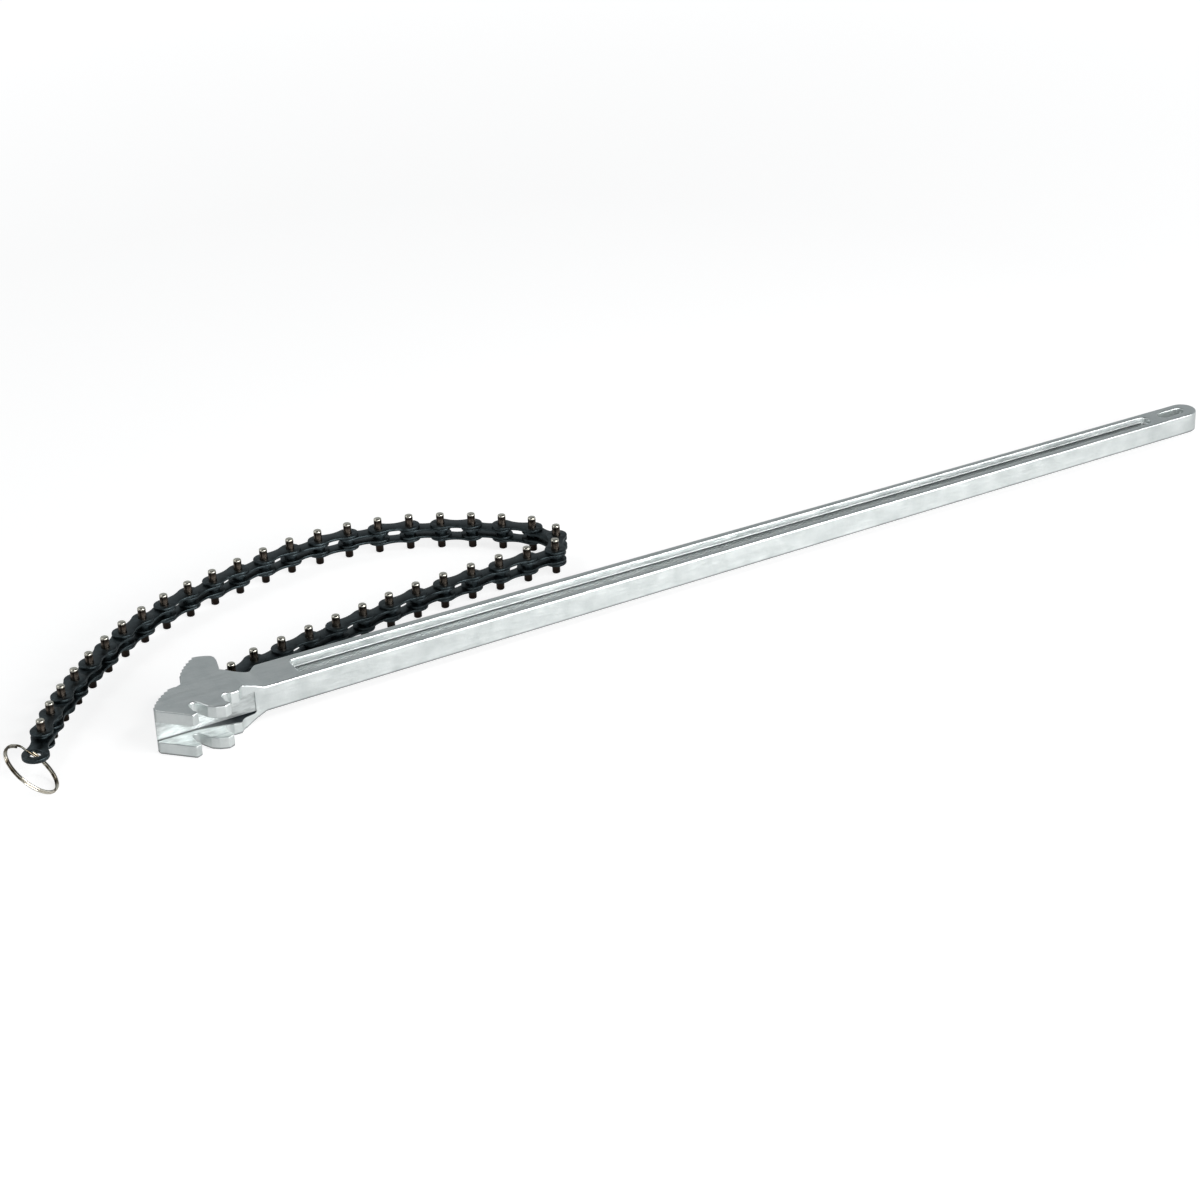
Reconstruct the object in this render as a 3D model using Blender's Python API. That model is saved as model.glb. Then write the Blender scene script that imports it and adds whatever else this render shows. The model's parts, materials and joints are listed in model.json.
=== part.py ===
"""Chain pipe wrench: a forged jaw and handle with a hinged pin chain and a pull ring.

Blender 4.5, metres, +Z up. The wrench lies on its side: +X runs along the handle, from the jaw to
the hanging slot, +Y is the side that the chain lies on, and the chain's pins stand on the floor.
"""
import math

import bmesh
import bpy
from mathutils import Matrix, Vector
from mathutils.geometry import tessellate_polygon

MM = 0.001
CLEARANCE = 0.3 * MM
CUTTER_SPARE = 5.0 * MM
EMPTY_SIZE = 5.0 * MM

# The chain: extended pins joined by waisted plates
PITCH = 25.4 * MM
OUTER_LINKS = 18
PIN_DIAMETER = 6.4 * MM
PIN_LENGTH = 30.0 * MM
PIN_CHAMFER = 0.8 * MM
PIN_SIDES = 10
PLATE_THICKNESS = 2.0 * MM
PLATE_END_RADIUS = 8.6 * MM
PLATE_WAIST_WIDTH = 11.6 * MM
PLATE_END_STEPS = 7
PLATE_WAIST_STEPS = 3
BUSH_HEIGHT = 4.0 * MM
BUSH_WALL = 1.4 * MM

# How the chain lies: its first hinge, and the turn in degrees at each pin, run by run
ANCHOR_X = 62.7 * MM
ANCHOR_Y = 6.5 * MM
FIRST_HEADING = 53.0
CHAIN_TURNS = (
    (1, -26.7),
    (1, -14.7),
    (4, 0.0),
    (2, -2.6),
    (4, -1.6),
    (1, 60.0),
    (1, 52.0),
    (1, 24.4),
    (1, 4.6),
    (2, 5.8),
    (5, 7.6),
    (4, 2.6),
    (3, 5.8),
    (3, 3.0),
    (3, 4.0),
)

# The single plate at the chain's free end, and the pull ring that it holds
RING_PLATE_THICKNESS = 3.0 * MM
RING_PLATE_RADIUS = 10.2 * MM
RING_HOLE_DIAMETER = 9.4 * MM
RING_OUTER_DIAMETER = 47.0 * MM
RING_WIRE_WIDTH = 2.0 * MM
RING_WIRE_HEIGHT = 3.2 * MM
RING_LEAN = 44.0
RING_YAW = 9.0
RING_STEPS = 32
RING_WIRE_SIDES = 8

# The jaw end of the forging, whose underside has the model's origin this far behind its front
ORIGIN_X = 30.0 * MM
HEAD_THICKNESS = 36.0 * MM
TOOTH_PITCH = 4.8 * MM
TOOTH_DEPTH = 1.5 * MM
LOWER_TEETH_START = (0.4, -15.5)
LOWER_TEETH_END = (19.2, 4.4)
UPPER_TEETH_START = (34.2, 18.3)
UPPER_TEETH_END = (52.6, 39.9)
TEETH_BULGE = 1.6 * MM
JAW_CORNER = 2.4 * MM
NECK_CORNER = 16.0 * MM
CORNER_STEPS = 4
CORNER_SHARE = 0.45
HOOK_POCKET_WIDTH = 7.2 * MM
HOOK_POCKET_X = 27.5 * MM
HOOK_POCKET_TOP = -23.0 * MM
HOOK_POCKET_STEPS = 6
HOOK_THROAT_DEPTH = 7.4 * MM
HOOK_NOSE_Y = -41.0 * MM
HOOK_NOSE_REACH = 6.8 * MM
HOOK_LIP_BACK = 1.0 * MM
HOOK_LIP_RISE = 2.4 * MM
HOOK_CORNER = 2.0 * MM
HEEL_X = 62.8 * MM
HEEL_Y = -25.4 * MM
CHEEK_SLOT_HEIGHT = 16.6 * MM
CHEEK_SLOT_FLOOR = -17.0 * MM
CHEEK_SLOT_END = 77.5 * MM
ANCHOR_SLOT_HEIGHT = 20.6 * MM
ANCHOR_SLOT_SPREAD = (40.0, 90.0)
ANCHOR_SLOT_STEPS = 12
ANCHOR_PIN_COVER = 6.0 * MM

# The handle of the forging
NECK_START = 68.5 * MM
NECK_END = 86.0 * MM
OVERALL_LENGTH = 959.0 * MM
ROOT_WIDTH = 35.4 * MM
ROOT_THICKNESS = 20.6 * MM
END_WIDTH = 24.0 * MM
END_THICKNESS = 17.0 * MM
ROOT_X = 96.0 * MM
TAPER_POWER = 1.5
HANDLE_STATIONS = 9
END_STEPS = 12
GROOVE_START = 117.0 * MM
GROOVE_END = 912.0 * MM
GROOVE_START_WIDTH = 20.8 * MM
GROOVE_END_WIDTH = 14.0 * MM
GROOVE_DRAFT = 7.0
GROOVE_CORNER = 2.0 * MM
GROOVE_END_STEPS = 8
WEB_THICKNESS = 5.6 * MM
HANG_SLOT_LENGTH = 26.0 * MM
HANG_SLOT_WIDTH = 10.0 * MM
HANG_SLOT_FROM_END = 11.0 * MM
HANG_SLOT_STEPS = 6

# The jaw's outline between its teeth, hooks and handle, in millimetres, anticlockwise from above
SHOULDER = [(92.0, 17.6), (83.0, 8.2)]
NOTCH = [(77.0, 6.8), (69.2, 6.6), (66.0, 10.6), (63.6, 12.8)]
HORN = [(65.2, 18.5), (67.4, 28.0), (67.6, 32.8), (66.2, 35.6), (62.5, 38.0), (57.5, 40.0)]
SADDLE = [(30.4, 7.2), (25.4, 5.2)]
FRONT = [(0.0, -20.2)]
MIDDLE_NOSE = [(34.6, -34.2), (39.5, -38.4)]
NECK = [(66.2, -20.6), (77.0, -18.1)]

# Sizes that follow from those above
PIN_RADIUS = PIN_DIAMETER / 2
HEAD_MIDDLE = HEAD_THICKNESS / 2
CHAIN_MIDDLE = PIN_LENGTH / 2
INNER_PLATE_Z = BUSH_HEIGHT / 2
OUTER_PLATE_Z = INNER_PLATE_Z + PLATE_THICKNESS + CLEARANCE
FLAT_SHARE = math.cos(math.pi / PIN_SIDES)
BORE_RADIUS = (PIN_RADIUS + CLEARANCE) / FLAT_SHARE
RING_HOLE_RADIUS = RING_HOLE_DIAMETER / 2 / FLAT_SHARE
BUSH_RADIUS = BORE_RADIUS + BUSH_WALL
RING_RADIUS = (RING_OUTER_DIAMETER - RING_WIRE_WIDTH) / 2


def clear_scene():
    for old in list(bpy.data.objects):
        bpy.data.objects.remove(old, do_unlink=True)


def material(name, colour, roughness, metallic):
    made = bpy.data.materials.new(name)
    made.use_nodes = True
    surface = made.node_tree.nodes["Principled BSDF"]
    surface.inputs["Base Color"].default_value = (*colour, 1.0)
    surface.inputs["Roughness"].default_value = roughness
    surface.inputs["Metallic"].default_value = metallic
    made.diffuse_color = (*colour, 1.0)
    return made


def empty(name, location, heading=0.0, parent=None):
    made = bpy.data.objects.new(name, None)
    made.empty_display_size = EMPTY_SIZE
    made.parent = parent
    made.location = location
    made.rotation_euler.z = heading
    bpy.context.scene.collection.objects.link(made)
    return made


def piece(name, mesh, parent=None, surface=None):
    made = bpy.data.objects.new(name, mesh)
    made.parent = parent
    bpy.context.scene.collection.objects.link(made)
    if surface and not mesh.materials:
        mesh.materials.append(surface)
    return made


def finished_mesh(name, shape, sharp_degrees=35.0):
    bmesh.ops.recalc_face_normals(shape, faces=shape.faces[:])
    mesh = bpy.data.meshes.new(name)
    shape.to_mesh(mesh)
    shape.free()
    mesh.shade_smooth()
    mesh.set_sharp_from_angle(angle=math.radians(sharp_degrees))
    return mesh


def add_loop(shape, points, z):
    return [shape.verts.new((x, y, z)) for x, y in points]


def add_wall(shape, *loops):
    """Join loops of corners that have as many corners each, one after another."""
    for below, above in zip(loops, loops[1:]):
        for i in range(len(below)):
            shape.faces.new((below[i - 1], below[i], above[i], above[i - 1]))


def add_flat(shape, outer, holes=()):
    """Fill a flat loop, leaving its holes open."""
    if not holes:
        shape.faces.new(outer)
        return
    loops = [outer, *holes]
    corners = sum(loops, [])
    for triangle in tessellate_polygon([[corner.co for corner in loop] for loop in loops]):
        shape.faces.new([corners[i] for i in triangle])


def add_prism(shape, outline, low, high, holes=()):
    """Add a flat-ended prism with the outline and holes given, from low to high."""
    outer, *inner = (
        (add_loop(shape, points, low), add_loop(shape, points, high))
        for points in (outline, *holes)
    )
    for below, above in (outer, *inner):
        add_wall(shape, below, above)
    for end in (0, 1):
        add_flat(shape, outer[end], [hole[end] for hole in inner])


def prism_mesh(name, outline, low, high):
    shape = bmesh.new()
    add_prism(shape, outline, low, high)
    return finished_mesh(name, shape)


def circle(centre_x, centre_y, radius, sides):
    return arc(centre_x, centre_y, radius, 0.0, 2 * math.pi, sides)[:-1]


def arc(centre_x, centre_y, radius, start, end, steps):
    turns = [start + (end - start) * i / steps for i in range(steps + 1)]
    return [
        (centre_x + radius * math.cos(turn), centre_y + radius * math.sin(turn))
        for turn in turns
    ]


def hollow_radius():
    """The radius of the hollow sides that give a plate with two like ends its waist."""
    waist = PLATE_WAIST_WIDTH / 2
    return ((PITCH / 2)**2 + waist**2 - PLATE_END_RADIUS**2) / (2 * (PLATE_END_RADIUS - waist))


def link_outline(far_radius=PLATE_END_RADIUS):
    """A waisted plate: two round ends joined by hollow sides that meet them smoothly."""
    hollow = hollow_radius()
    near_reach = PLATE_END_RADIUS + hollow
    x = (PITCH**2 + near_reach**2 - (far_radius + hollow)**2) / (2 * PITCH)
    y = math.sqrt(near_reach**2 - x**2)
    near_meet = math.atan2(y, x)
    far_meet = math.atan2(y, PITCH - x)
    far_end = arc(PITCH, 0, far_radius, far_meet - math.pi, math.pi - far_meet, PLATE_END_STEPS)
    near_end = arc(0, 0, PLATE_END_RADIUS, near_meet, 2 * math.pi - near_meet, PLATE_END_STEPS)
    top = arc(x, y, hollow, -far_meet, near_meet - math.pi, PLATE_WAIST_STEPS)
    bottom = arc(x, -y, hollow, math.pi - near_meet, far_meet, PLATE_WAIST_STEPS)
    return far_end + top[1:-1] + near_end + bottom[1:-1]


def inner_link_mesh():
    """Two plates pressed on a bush at each hinge."""
    shape = bmesh.new()
    outside = INNER_PLATE_Z + PLATE_THICKNESS
    levels = (-outside, -INNER_PLATE_Z, INNER_PLATE_Z, outside)
    outlines = [add_loop(shape, link_outline(), z) for z in levels]
    holes = [[], [], [], []]
    for x in (0, PITCH):
        bore = circle(x, 0, BORE_RADIUS, PIN_SIDES)
        bush = circle(x, 0, BUSH_RADIUS, PIN_SIDES)
        ends = [add_loop(shape, bore, z) for z in (-outside, outside)]
        inside = [add_loop(shape, bush, z) for z in levels[1:3]]
        add_wall(shape, *ends)
        add_wall(shape, *inside)
        for level, loop in zip(holes, (ends[0], *inside, ends[1])):
            level.append(loop)
    for outline, open_loops in zip(outlines, holes):
        add_flat(shape, outline, open_loops)
    add_wall(shape, *outlines[:2])
    add_wall(shape, *outlines[2:])
    return finished_mesh("inner_link", shape)


def ring_link_mesh():
    """One thicker plate on a full-height bush, with a larger end round the pull ring's hole."""
    shape = bmesh.new()
    bush_end = INNER_PLATE_Z + PLATE_THICKNESS
    plate_face = RING_PLATE_THICKNESS / 2
    bush = circle(0, 0, BUSH_RADIUS, PIN_SIDES)
    through = (
        (circle(0, 0, BORE_RADIUS, PIN_SIDES), bush_end),
        (circle(PITCH, 0, RING_HOLE_RADIUS, PIN_SIDES), plate_face),
        (link_outline(RING_PLATE_RADIUS), plate_face),
    )
    bores, holes, outlines = (
        [add_loop(shape, points, side * z) for side in (-1, 1)] for points, z in through
    )
    for side, bore, hole, outline in zip((-1, 1), bores, holes, outlines):
        foot = add_loop(shape, bush, side * plate_face)
        rim = add_loop(shape, bush, side * bush_end)
        add_wall(shape, foot, rim)
        add_flat(shape, rim, [bore])
        add_flat(shape, outline, [foot, hole])
    for loops in (bores, holes, outlines):
        add_wall(shape, *loops)
    return finished_mesh("ring_link", shape)


def cover_plate_mesh():
    shape = bmesh.new()
    bores = [circle(x, 0, BORE_RADIUS, PIN_SIDES) for x in (0, PITCH)]
    add_prism(shape, link_outline(), OUTER_PLATE_Z, OUTER_PLATE_Z + PLATE_THICKNESS, bores)
    return finished_mesh("cover_plate", shape)


def pin_end(shape, x, inner_z, end_z):
    """A pin from a plate's face to its chamfered end. Returns its loop on the plate."""
    chamfer = math.copysign(PIN_CHAMFER, end_z)
    foot = add_loop(shape, circle(x, 0, PIN_RADIUS, PIN_SIDES), inner_z)
    edge = add_loop(shape, circle(x, 0, PIN_RADIUS, PIN_SIDES), end_z - chamfer)
    tip = add_loop(shape, circle(x, 0, PIN_RADIUS - PIN_CHAMFER, PIN_SIDES), end_z)
    add_wall(shape, foot, edge, tip)
    add_flat(shape, tip)
    return foot


def pin_link_mesh():
    """The lower outer plate with its two long pins, which the cover plate is pressed on."""
    shape = bmesh.new()
    faces = (
        (-OUTER_PLATE_Z - PLATE_THICKNESS, -CHAIN_MIDDLE),
        (-OUTER_PLATE_Z, CHAIN_MIDDLE),
    )
    outlines = []
    for face_z, end_z in faces:
        feet = [pin_end(shape, x, face_z, end_z) for x in (0, PITCH)]
        outlines.append(add_loop(shape, link_outline(), face_z))
        add_flat(shape, outlines[-1], feet)
    add_wall(shape, *outlines)
    return finished_mesh("pin_link", shape)


def chain_headings():
    """The heading of every link, from the one at the jaw to the one that holds the ring."""
    headings = [math.radians(FIRST_HEADING)]
    for count, turn in CHAIN_TURNS:
        for _ in range(count):
            headings.append(headings[-1] + math.radians(turn))
    return headings


def add_chain(tool, plate_look, pin_look):
    """Hinge each link on the one before it, and return the last link's empty."""
    inner_mesh = inner_link_mesh()
    cover_mesh = cover_plate_mesh()
    pin_mesh = pin_link_mesh()
    hinge = tool
    before = 0.0
    place = (ANCHOR_X, ANCHOR_Y, CHAIN_MIDDLE)
    for number, heading in enumerate(chain_headings()):
        hinge = empty(f"hinge_{number:02d}", place, heading - before, hinge)
        link = (number + 1) // 2
        if number % 2:
            piece(f"pin_link_{link:02d}", pin_mesh, hinge, pin_look)
            piece(f"cover_plate_{link:02d}", cover_mesh, hinge, plate_look)
        elif link < OUTER_LINKS:
            piece(f"inner_link_{link:02d}", inner_mesh, hinge, plate_look)
        else:
            piece("ring_link", ring_link_mesh(), hinge, plate_look)
        before = heading
        place = (PITCH, 0, 0)
    return hinge


def add_ring(last_link, look):
    """A ring of two turns of wire through the last hole, leaning down to the floor on its left."""
    shape = bmesh.new()
    wire_width = RING_WIRE_WIDTH / 2
    wire_height = RING_WIRE_HEIGHT / 2
    section = [(wire_width * x, wire_height * z) for x, z in circle(0, 0, 1, RING_WIRE_SIDES)]
    corners = [shape.verts.new((RING_RADIUS + x, 0, z)) for x, z in section]
    edges = [shape.edges.new((corners[i - 1], corners[i])) for i in range(len(corners))]
    bmesh.ops.spin(
        shape, geom=corners + edges, cent=(0, 0, 0), axis=(0, 0, 1),
        angle=2 * math.pi, steps=RING_STEPS, use_merge=True,
    )
    lean = math.radians(RING_LEAN)
    wire_reach = math.hypot(wire_width * math.sin(lean), wire_height * math.cos(lean))
    slide = RING_RADIUS - (CHAIN_MIDDLE - wire_reach) / math.sin(lean)
    centre = (
        math.sqrt(RING_RADIUS**2 - slide**2), -slide * math.cos(lean), slide * math.sin(lean),
    )
    bmesh.ops.transform(shape, verts=shape.verts[:], matrix=Matrix.Rotation(-lean, 4, "X"))
    bmesh.ops.translate(shape, verts=shape.verts[:], vec=centre)
    hinge = empty("ring_hinge", (PITCH, 0, 0), math.radians(RING_YAW), last_link)
    piece("end_ring", finished_mesh("end_ring", shape), hinge, look)


def toothed_edge(start, end):
    """Teeth along a slightly bulging edge, from start to end in millimetres, outside on the right."""
    first = Vector(start) * MM
    last = Vector(end) * MM
    along = (last - first).normalized()
    out = Vector((along.y, -along.x))
    count = round((last - first).length / TOOTH_PITCH)
    points = []
    for i in range(2 * count + 1):
        share = i / (2 * count)
        height = TEETH_BULGE * 4 * share * (1 - share)
        depth = TOOTH_DEPTH if i % 2 else 0.0
        points.append(tuple(first.lerp(last, share) + out * (height - depth)))
    return points


def hook(shift, pocket_end=0.0):
    """A hook's nose and lip, then the pocket behind them, in the order that the outline runs."""
    half = HOOK_POCKET_WIDTH / 2
    x = HOOK_POCKET_X + shift
    roof = HOOK_POCKET_TOP - half
    nose = (x - HOOK_NOSE_REACH, HOOK_NOSE_Y)
    lip = (x - HOOK_LIP_BACK, HOOK_NOSE_Y + HOOK_LIP_RISE)
    throat = (x - half, roof - HOOK_THROAT_DEPTH)
    pocket = arc(x, roof, half, math.pi, pocket_end, HOOK_POCKET_STEPS)
    return eased([nose, lip, throat], HOOK_CORNER) + eased(pocket)


def rear_hook():
    """The hook one pitch further back, whose pocket stops at a heel before the neck."""
    half = HOOK_POCKET_WIDTH / 2
    hooked = hook(PITCH, math.asin((HEEL_Y - HOOK_POCKET_TOP + half) / half))
    return hooked + eased([(HEEL_X, HEEL_Y)], JAW_CORNER)


def half_width(x):
    share = min(max((x - ROOT_X) / (OVERALL_LENGTH - ROOT_X), 0.0), 1.0)
    return (END_WIDTH + (ROOT_WIDTH - END_WIDTH) * (1 - share) ** TAPER_POWER) / 2


def eased(points, radius=0.0):
    """The points as corners that are to be rounded by the radius."""
    return [(x, y, radius) for x, y in points]


def typed(points, radius):
    """Corners whose places are typed in millimetres."""
    return [(x * MM, y * MM, radius) for x, y in points]


def rounded(corners):
    """A closed outline with its corners rounded, as far as their sides have room."""
    outline = []
    for i, (x, y, radius) in enumerate(corners):
        if not radius:
            outline.append((x, y))
            continue
        corner = Vector((x, y))
        back = Vector(corners[i - 1][:2]) - corner
        ahead = Vector(corners[(i + 1) % len(corners)][:2]) - corner
        wanted = radius * math.tan((math.pi - back.angle(ahead)) / 2)
        reach = min(wanted, CORNER_SHARE * back.length, CORNER_SHARE * ahead.length)
        start = corner + back.normalized() * reach
        end = corner + ahead.normalized() * reach
        for step in range(CORNER_STEPS + 1):
            share = step / CORNER_STEPS
            towards = start.lerp(corner, share)
            outline.append(tuple(towards.lerp(corner.lerp(end, share), share)))
    return outline


def forging_outline():
    """The forging seen from above, anticlockwise from where the hook side meets the handle."""
    radius = END_WIDTH / 2
    end_centre = OVERALL_LENGTH - radius
    step = (end_centre - ROOT_X) / HANDLE_STATIONS
    stations = [ROOT_X + step * i for i in range(HANDLE_STATIONS)]
    near_side = [(x, -half_width(x)) for x in stations]
    round_end = arc(end_centre, 0, radius, -math.pi / 2, math.pi / 2, END_STEPS)
    far_side = [(x, half_width(x)) for x in reversed(stations)]
    upper_teeth = eased(toothed_edge(UPPER_TEETH_END, UPPER_TEETH_START))
    lower_teeth = eased(toothed_edge(LOWER_TEETH_END, LOWER_TEETH_START))
    handle = eased(near_side + round_end + far_side) + typed(SHOULDER, NECK_CORNER)
    jaw = typed(NOTCH + HORN, JAW_CORNER) + upper_teeth + typed(SADDLE, JAW_CORNER) + lower_teeth
    front_hook = typed(FRONT, JAW_CORNER) + hook(0.0) + typed(MIDDLE_NOSE, JAW_CORNER)
    return rounded(handle + jaw + front_hook + rear_hook() + typed(NECK, NECK_CORNER))


def thickness_profile():
    """The forging seen from the side, taller than the jaw, so that it trims only the handle."""
    spare = HEAD_THICKNESS
    root_drop = (HEAD_THICKNESS - ROOT_THICKNESS) / 2
    end_drop = (HEAD_THICKNESS - END_THICKNESS) / 2
    slope_start = NECK_START - spare * (NECK_END - NECK_START) / root_drop
    lower = [
        (slope_start, -spare),
        (NECK_END, root_drop),
        (OVERALL_LENGTH, end_drop),
        (OVERALL_LENGTH + spare, end_drop),
    ]
    upper = [(x, HEAD_THICKNESS - z) for x, z in reversed(lower)]
    back = -spare
    return [(back, -spare)] + lower + upper + [(back, HEAD_THICKNESS + spare)]


def profile_mesh():
    """The side profile as a block that is wider than the forging."""
    shape = bmesh.new()
    reach = 3 * HEAD_THICKNESS
    add_prism(shape, thickness_profile(), -reach, reach)
    bmesh.ops.rotate(shape, verts=shape.verts[:], matrix=Matrix.Rotation(math.pi / 2, 3, "X"))
    return finished_mesh("thickness_profile", shape)


def groove_outline(inset):
    """One face's groove, square with small corners at the jaw and round at the far end."""
    first = GROOVE_START + inset
    wide = GROOVE_START_WIDTH / 2 - inset
    radius = GROOVE_END_WIDTH / 2
    corner = GROOVE_CORNER
    head_end = [
        (first + corner, wide), (first, wide - corner), (first, corner - wide), (first + corner, -wide),
    ]
    end = arc(GROOVE_END - radius, 0, radius - inset, -math.pi / 2, math.pi / 2, GROOVE_END_STEPS)
    return head_end + end


def groove_mesh(side):
    """The groove's cutter on the upper face (side 1) or the lower face (side -1)."""
    lean = math.tan(math.radians(GROOVE_DRAFT))
    shape = bmesh.new()
    loops = []
    for height in (WEB_THICKNESS / 2, HEAD_THICKNESS):
        points = groove_outline((ROOT_THICKNESS / 2 - height) * lean)
        loops.append(add_loop(shape, points, HEAD_MIDDLE + side * height))
    add_wall(shape, *loops)
    for loop in loops:
        add_flat(shape, loop)
    return finished_mesh("groove", shape)


def cheek_slot_outline():
    """The slot between the two rows of hooks, open past the hooks and past the jaw's front."""
    outside = 2 * HOOK_NOSE_Y
    front = -HEAD_THICKNESS
    return [
        (front, outside), (CHEEK_SLOT_END, outside),
        (CHEEK_SLOT_END, CHEEK_SLOT_FLOOR), (front, CHEEK_SLOT_FLOOR),
    ]


def anchor_slot_outline():
    """The room that the first link needs: round its pin, and widening out of the notch."""
    radius = PLATE_END_RADIUS + 3 * CLEARANCE
    low, high = (math.radians(turn) for turn in ANCHOR_SLOT_SPREAD)
    back = arc(
        ANCHOR_X, ANCHOR_Y, radius, high + math.pi / 2, low + 1.5 * math.pi, ANCHOR_SLOT_STEPS,
    )
    reach = 3 * PITCH
    far_low = (back[-1][0] + reach * math.cos(low), back[-1][1] + reach * math.sin(low))
    far_high = (back[0][0] + reach * math.cos(high), back[0][1] + reach * math.sin(high))
    return back + [far_low, far_high]


def hang_slot_outline():
    radius = HANG_SLOT_WIDTH / 2
    end = OVERALL_LENGTH - HANG_SLOT_FROM_END - radius
    start = end - HANG_SLOT_LENGTH + HANG_SLOT_WIDTH
    right = arc(end, 0, radius, -math.pi / 2, math.pi / 2, HANG_SLOT_STEPS)
    return right + arc(start, 0, radius, math.pi / 2, 1.5 * math.pi, HANG_SLOT_STEPS)


def cut(target, name, mesh, operation="DIFFERENCE"):
    """Cut the target with a mesh that stays in the file as a hidden wire guide."""
    guide = piece(name, mesh, target.parent)
    guide.hide_render = True
    guide.display_type = "WIRE"
    step = target.modifiers.new(name, "BOOLEAN")
    step.operation = operation
    step.solver = "EXACT"
    step.object = guide


def slot_mesh(name, outline, height):
    """A slot's cutter, as high as given about the middle of the jaw."""
    return prism_mesh(name, outline, HEAD_MIDDLE - height / 2, HEAD_MIDDLE + height / 2)


def add_forging(tool, look):
    """The jaw, hooks and handle, which are one forging."""
    below = -CUTTER_SPARE
    above = HEAD_THICKNESS + CUTTER_SPARE
    bore = circle(ANCHOR_X, ANCHOR_Y, BORE_RADIUS, PIN_SIDES)
    bore_top = HEAD_THICKNESS - ANCHOR_PIN_COVER
    blank = prism_mesh("forging", forging_outline(), 0, HEAD_THICKNESS)
    forging = piece("handle_forging", blank, tool, look)
    cut(forging, "thickness_cutter", profile_mesh(), "INTERSECT")
    cut(forging, "cheek_slot_cutter", slot_mesh("cheek_slot", cheek_slot_outline(), CHEEK_SLOT_HEIGHT))
    cut(forging, "anchor_slot_cutter", slot_mesh("anchor_slot", anchor_slot_outline(), ANCHOR_SLOT_HEIGHT))
    cut(forging, "anchor_bore_cutter", prism_mesh("anchor_bore", bore, below, bore_top))
    cut(forging, "hang_slot_cutter", prism_mesh("hang_slot", hang_slot_outline(), below, above))
    cut(forging, "upper_groove_cutter", groove_mesh(1))
    cut(forging, "lower_groove_cutter", groove_mesh(-1))


def add_anchor_pin(tool, look):
    """The plain pin through the first link, pressed into the forging from below."""
    length = HEAD_THICKNESS - ANCHOR_PIN_COVER - 2 * CLEARANCE
    mesh = prism_mesh("anchor_pin", circle(0, 0, PIN_RADIUS, PIN_SIDES), 0, length)
    pin = piece("anchor_pin", mesh, tool, look)
    pin.location = (ANCHOR_X, ANCHOR_Y, CLEARANCE)


def build():
    clear_scene()
    plated = material("plated_steel", (0.55, 0.58, 0.58), 0.28, 1.0)
    blackened = material("black_oxide_steel", (0.025, 0.03, 0.032), 0.45, 0.8)
    bare = material("bare_pin_steel", (0.16, 0.145, 0.13), 0.32, 1.0)
    nickel = material("nickel_wire", (0.62, 0.58, 0.5), 0.2, 1.0)
    tool = empty("tool", (-ORIGIN_X, 0, 0))
    add_forging(tool, plated)
    add_anchor_pin(tool, bare)
    add_ring(add_chain(tool, blackened, bare), nickel)
    bpy.context.view_layer.update()


build()
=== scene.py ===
# %% [markdown]
# # A chain pipe wrench
# A chain wrench is a forged bar with a toothed jaw and a long hinged chain. The chain is wrapped
# round a pipe and one of its pins is dropped in a hook of the jaw, so that pulling the handle
# bites. Here the tool lies on a white table with its chain laid out behind it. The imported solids
# are loaded first. They give the place and the size of everything, and each piece made below is
# fitted to them.

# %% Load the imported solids
import json
import math

import bmesh
import bpy
from mathutils import Matrix, Vector


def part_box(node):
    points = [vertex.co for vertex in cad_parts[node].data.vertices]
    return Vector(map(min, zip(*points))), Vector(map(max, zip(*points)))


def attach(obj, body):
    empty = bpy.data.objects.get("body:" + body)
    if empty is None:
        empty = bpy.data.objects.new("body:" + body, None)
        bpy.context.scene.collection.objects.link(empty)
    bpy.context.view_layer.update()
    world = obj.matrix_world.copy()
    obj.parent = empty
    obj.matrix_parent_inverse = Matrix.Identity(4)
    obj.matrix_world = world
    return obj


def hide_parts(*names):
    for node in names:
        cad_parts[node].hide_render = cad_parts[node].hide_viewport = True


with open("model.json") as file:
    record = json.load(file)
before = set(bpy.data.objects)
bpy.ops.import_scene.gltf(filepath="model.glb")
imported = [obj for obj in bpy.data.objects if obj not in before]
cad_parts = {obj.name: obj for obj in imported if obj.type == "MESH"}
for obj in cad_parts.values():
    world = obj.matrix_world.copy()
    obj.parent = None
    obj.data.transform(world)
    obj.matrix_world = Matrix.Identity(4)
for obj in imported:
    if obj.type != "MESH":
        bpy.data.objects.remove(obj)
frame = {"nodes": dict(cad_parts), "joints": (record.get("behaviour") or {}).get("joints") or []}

MM = 0.001
scene = bpy.context.scene
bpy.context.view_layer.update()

# %% [markdown]
# ## The camera
# The photograph was taken from in front of the jaw and a little above, with a long lens. The lens
# and the place were worked out from the tops of the chain's pins, which stand an inch apart in one
# plane. Three directions say how the camera is turned, and a small roll tips the frame.

# %% Set the camera
CAMERA_PLACE = Vector((-616.2, -1817.9, 1086.2)) * MM
CAMERA_FORWARD = Vector((0.4142, 0.7829, -0.4643))
CAMERA_RIGHT = Vector((0.8839, -0.4677, 0.0))
CAMERA_ROLL = math.radians(-2.592)
FOCAL_LENGTH = 89.36
SENSOR_WIDTH = 36.0

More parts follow.
